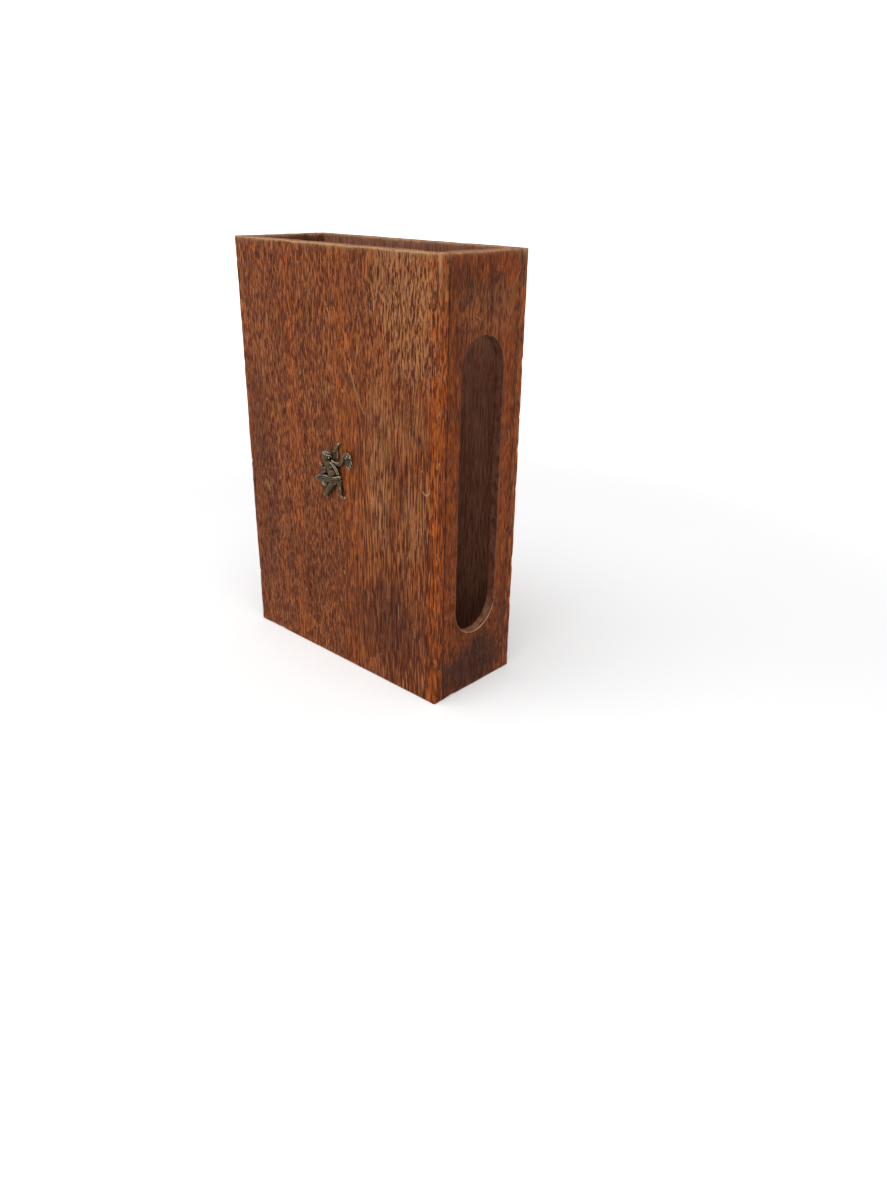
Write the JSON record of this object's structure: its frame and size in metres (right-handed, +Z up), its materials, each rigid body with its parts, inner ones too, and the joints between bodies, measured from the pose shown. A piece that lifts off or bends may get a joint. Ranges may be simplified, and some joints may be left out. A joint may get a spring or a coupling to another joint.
{
  "type": "matchbox holder",
  "caption": "Upright open-topped wooden holder for a large box of matches, with a long round-ended slot in one narrow side and a small cast winged-child figure on the front.",
  "frame": {"origin": "middle of the footprint of the wooden box, on the surface that it stands on", "axes": "+Z up, +Y from the front with the figure to the back, +X to the right along the front, towards the slotted side"},
  "size_m": [0.0748, 0.0338, 0.113],
  "materials": {
    "stained_wood_wide": "red-brown stain under thin worn polish, upright open-pored grain, rubbed pale along the edges",
    "stained_wood_narrow": "red-brown stain, closer and smoother upright grain, darker inside and on the cut edge of the slot",
    "bare_wood_base": "dark unpolished wood, dusty",
    "dark_bronze": "antiqued dark, rubbed bright on the high points",
    "plain_brass": "plain drawn wire, dull"
  },
  "bodies": {
    "root": {"front_panel": "stained_wood_wide", "back_panel": "stained_wood_wide", "slotted_side": "stained_wood_narrow", "plain_side": "stained_wood_narrow", "base_panel": "bare_wood_base", "putto_ornament": "dark_bronze", "ornament_pins": "plain_brass"}
  },
  "joints": []
}
